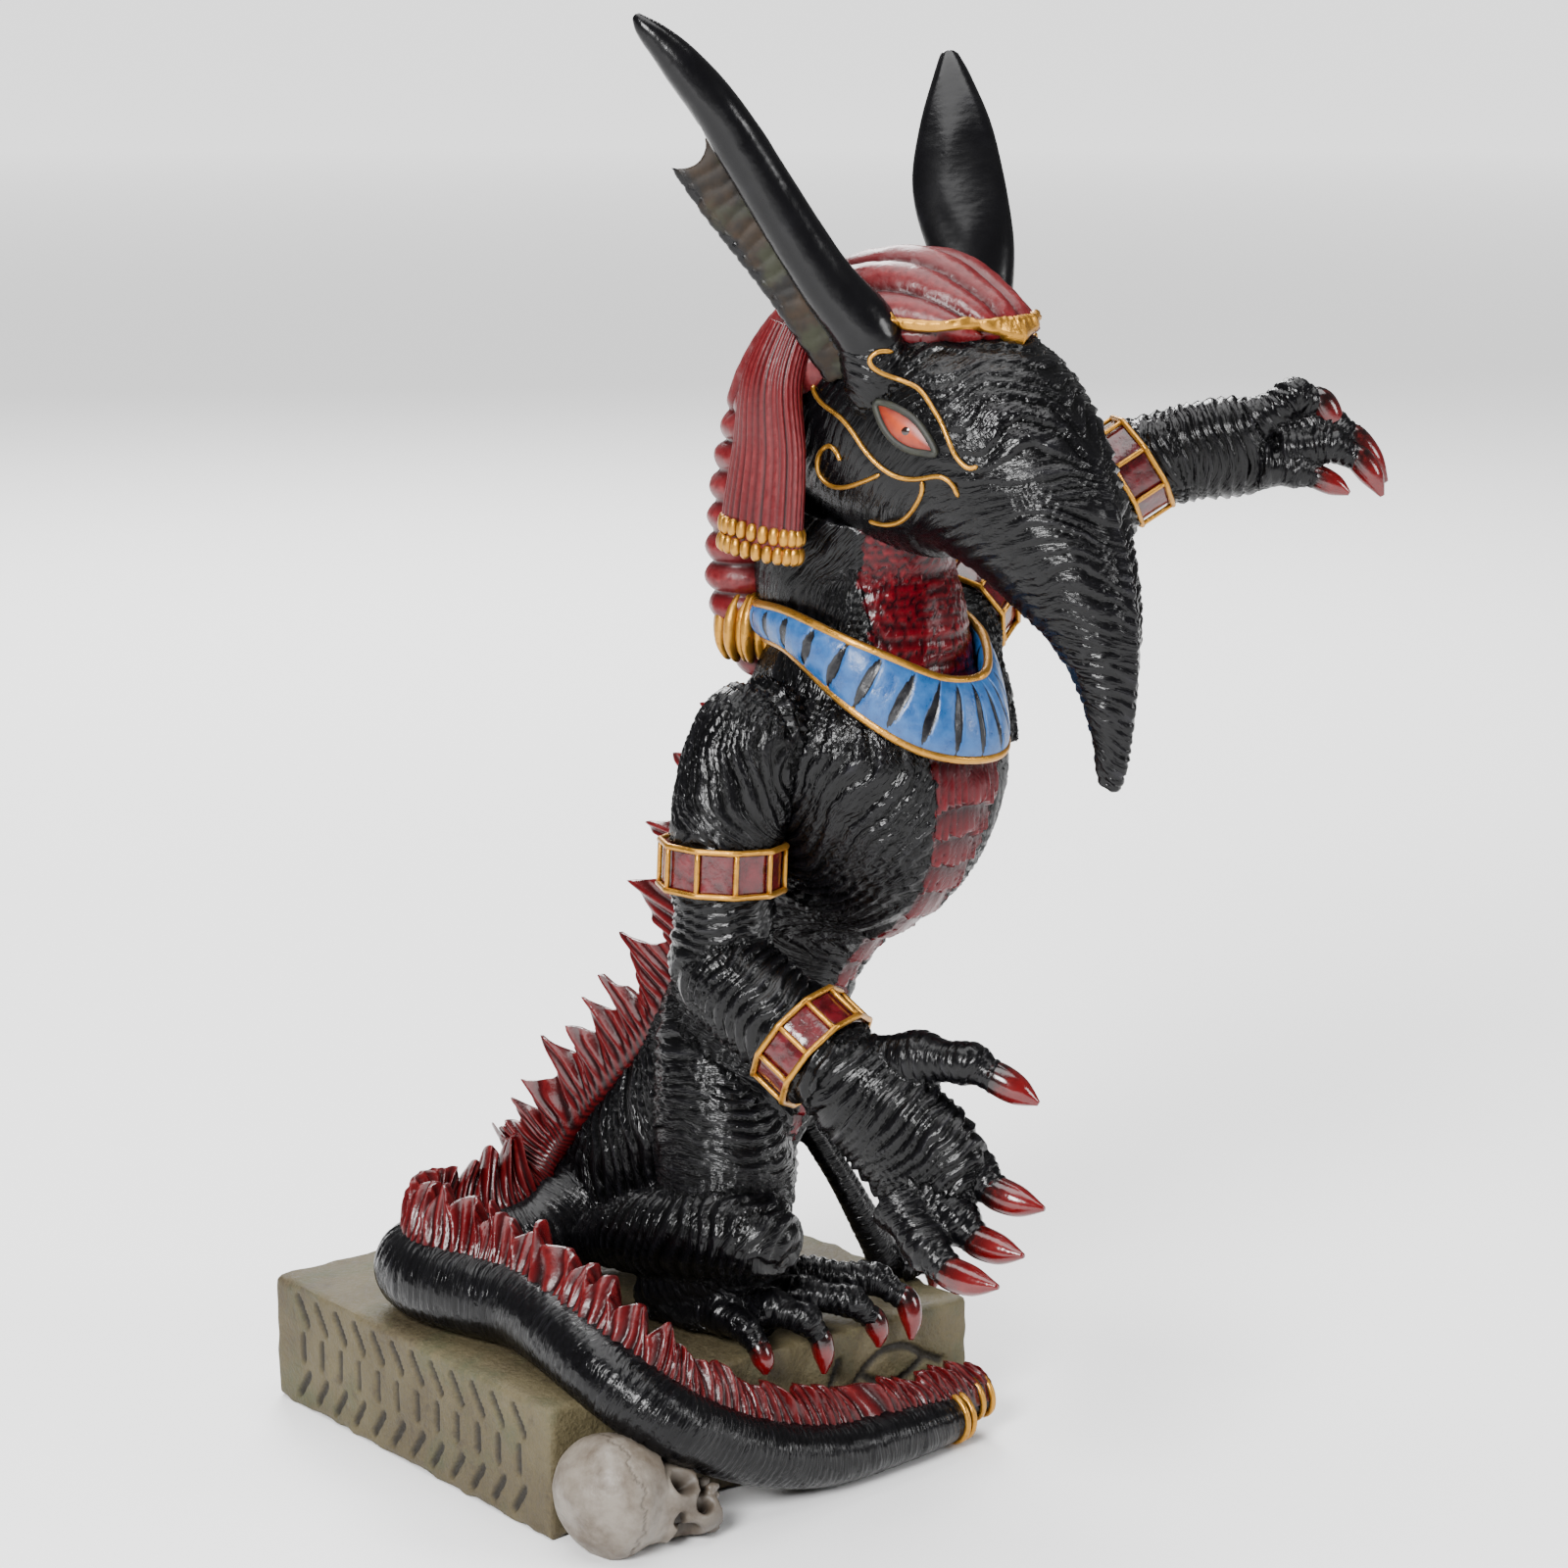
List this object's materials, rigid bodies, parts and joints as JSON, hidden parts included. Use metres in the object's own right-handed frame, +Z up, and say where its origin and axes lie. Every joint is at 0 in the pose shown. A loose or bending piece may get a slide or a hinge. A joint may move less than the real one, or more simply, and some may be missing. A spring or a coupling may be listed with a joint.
{
  "type": "seth statue",
  "caption": "Small painted resin statue of a crouching long-snouted ancient god on a stone block, with tall ears, collar, arm bands, spined tail and a skull at its foot.",
  "frame": {"origin": "middle of the plinth's underside, on the surface it stands on", "axes": "+Z up; the plinth's sides run along X and Y; the front face, with the toes, the skull and the tail's end, looks towards -Y; +X is the figure's left"},
  "size_m": [0.1323, 0.1246, 0.1987],
  "materials": {
    "black_resin": "glossy black paint with red, gold and blue details over cast polyresin",
    "stone_resin": "stone-coloured paint with a brown wash over cast polyresin"
  },
  "bodies": {
    "root": {"figure": "black_resin", "plinth": "stone_resin"}
  },
  "joints": []
}
